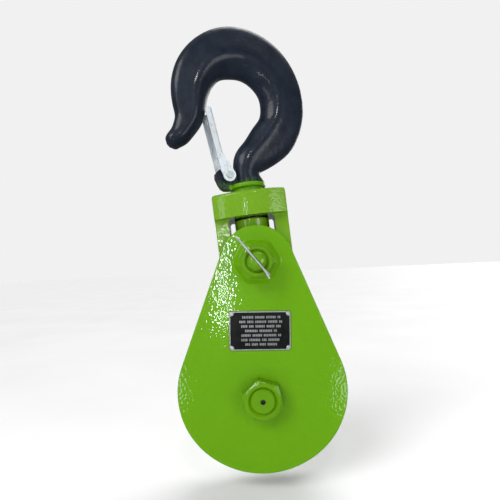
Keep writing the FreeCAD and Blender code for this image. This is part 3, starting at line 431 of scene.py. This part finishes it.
# Plain blocks in seven rows stand for the plate's data; they spell nothing.
ROWS = 7
MARGIN = 5 * MM
ROW_PITCH = (PLATE_HEIGHT - 2 * MARGIN) / ROWS
BLOCK = Vector((1.25 * MM, 3.0 * MM))
BLOCK_PITCH = 2.1 * MM
draw = random.Random(11)
blocks = []
for row in range(ROWS):
    z = PLATE_HEIGHT / 2 - MARGIN - (row + 0.5) * ROW_PITCH
    span = draw.uniform(0.58, 0.86) * (PLATE_WIDTH - 12 * MM)
    x = -span / 2 + 2 * MM
    while x < span / 2:
        for _ in range(draw.randint(3, 8)):
            if x < span / 2 + 2 * MM:
                blocks.append(rounded_loop(BLOCK.x / 2, BLOCK.y / 2, 0.3 * MM, 2, (x, z)))
            x += BLOCK_PITCH
        x += BLOCK_PITCH * 0.9
relief("nameplate_blocks", blocks, "block", plate_silver("nameplate_grey", 0.5))


# ---- stage, light and camera ----------------------------------------------------------------------------


FLOOR_HALF = 60.0
FLOOR_DROP = 0.03


def floor():
    """A pale floor a little under the part, out of sight of reflections."""
    size = FLOOR_HALF
    level = CAD_BOX[0][2] - FLOOR_DROP
    mesh = bpy.data.meshes.new("floor")
    corners = [(-size, -size, level), (size, -size, level), (size, size, level), (-size, size, level)]
    mesh.from_pydata(corners, [], [(0, 1, 2, 3)])
    finish = Finish("floor_white")
    shade = finish.scaled(finish.noise(3.0, 2.0), 0.3, 0.7, 0.0, 1.0)
    mesh.materials.append(finish.done(finish.blend(shade, (0.86, 0.86, 0.86), (0.90, 0.90, 0.90)), 0.7))
    plane = bpy.data.objects.new("floor", mesh)
    plane.visible_glossy = False
    bpy.context.scene.collection.objects.link(plane)


def panel(name, place, aim, width, height, watts):
    """A rectangular lamp at a place, facing the point it is aimed at."""
    light = bpy.data.lights.new(name, "AREA")
    light.shape = "RECTANGLE"
    light.size = width
    light.size_y = height
    light.energy = watts
    lamp = bpy.data.objects.new(name, light)
    lamp.location = place
    lamp.rotation_euler = (Vector(aim) - Vector(place)).to_track_quat("-Z", "Y").to_euler()
    bpy.context.scene.collection.objects.link(lamp)


def far_lamp(name, towards, strength, spread):
    """A lamp far off in the direction given, as wide in the sky as spread in degrees."""
    light = bpy.data.lights.new(name, "SUN")
    light.energy = strength
    light.angle = math.radians(spread)
    lamp = bpy.data.objects.new(name, light)
    lamp.rotation_euler = Vector(towards).to_track_quat("Z", "Y").to_euler()
    bpy.context.scene.collection.objects.link(lamp)


# The picture looks square onto the side plate. ROLL is how far the block leans to the left in it.
ROLL = math.radians(2.5)
RIGHT = Vector((math.cos(ROLL), 0, -math.sin(ROLL)))
UP = Vector((math.sin(ROLL), 0, math.cos(ROLL)))
CAMERA_RANGE = 0.53
EYE = Vector((BOLT.x, -CAMERA_RANGE, BOLT.z)) + RIGHT * 0.91 * MM - UP * 10.66 * MM


def camera():
    lens = bpy.data.cameras.new("camera")
    lens.sensor_width = 36.0
    lens.lens = 27.69
    lens.shift_x = -0.0154
    lens.shift_y = 0.04
    lens.clip_start = 0.01
    view = bpy.data.objects.new("camera", lens)
    turn = Matrix((RIGHT, UP, Vector((0, -1, 0)))).transposed().to_4x4()
    view.matrix_world = Matrix.Translation(EYE) @ turn
    bpy.context.scene.collection.objects.link(view)
    bpy.context.scene.camera = view


def behind_camera(right, up, back=0.5):
    """A place behind the camera, so far to its right and above it."""
    return EYE + RIGHT * right + UP * up + Vector((0, -back, 0))


# Small panels behind the camera that show as the bright patches in the plate's gloss: name, how far to the
# right and above the camera, width, height and power.
REFLECTIONS = (
    ("strip", -0.140, 0.035, 0.008, 0.53, 1.5),
    ("high", 0.06, 0.80, 0.10, 0.10, 2.5),
    ("low_left", -0.33, -0.46, 0.04, 0.12, 0.10),
    ("low_right", 0.36, -0.46, 0.06, 0.16, 0.18),
)


# How bright the surround is to everything but the camera, and to the camera.
SURROUND_LIGHT = 0.22
SURROUND_SEEN = 0.88


def lights():
    """A pale surround that adds little light of its own, four suns, two soft panels and the gloss panels."""
    world = bpy.data.worlds.new("studio")
    bpy.context.scene.world = world
    world.use_nodes = True
    tree = world.node_tree
    seen = tree.nodes.new("ShaderNodeLightPath").outputs["Is Camera Ray"]
    strength = tree.nodes.new("ShaderNodeMapRange")
    strength.inputs["To Min"].default_value = SURROUND_LIGHT
    strength.inputs["To Max"].default_value = SURROUND_SEEN
    tree.links.new(seen, strength.inputs["Value"])
    background = tree.nodes["Background"]
    background.inputs["Color"].default_value = (1.0, 1.0, 1.0, 1.0)
    tree.links.new(strength.outputs["Result"], background.inputs["Strength"])
    middle = (CAD_BOX[0] + CAD_BOX[1]) / 2
    far_lamp("key", (-0.50, -0.60, 0.60), 1.7, 30)
    far_lamp("front", (0.66, -0.75, 0.05), 0.7, 24)
    far_lamp("overhead", (0.25, 0.35, 1.0), 1.45, 40)
    far_lamp("rear", (0.50, 0.80, 0.25), 0.7, 30)
    panel("left_front", (-1.3, -1.3, 0.1), middle, 0.3, 1.0, 4.0)
    panel("right_front", (1.6, -1.3, 0.0), middle, 0.6, 0.9, 3.0)
    forward = Vector((0, 1, 0))
    for name, right, up, width, height, watts in REFLECTIONS:
        place = behind_camera(right, up)
        panel(name, place, place + forward, width, height, watts)


floor()
lights()
camera()
bpy.context.scene.view_settings.view_transform = "Standard"
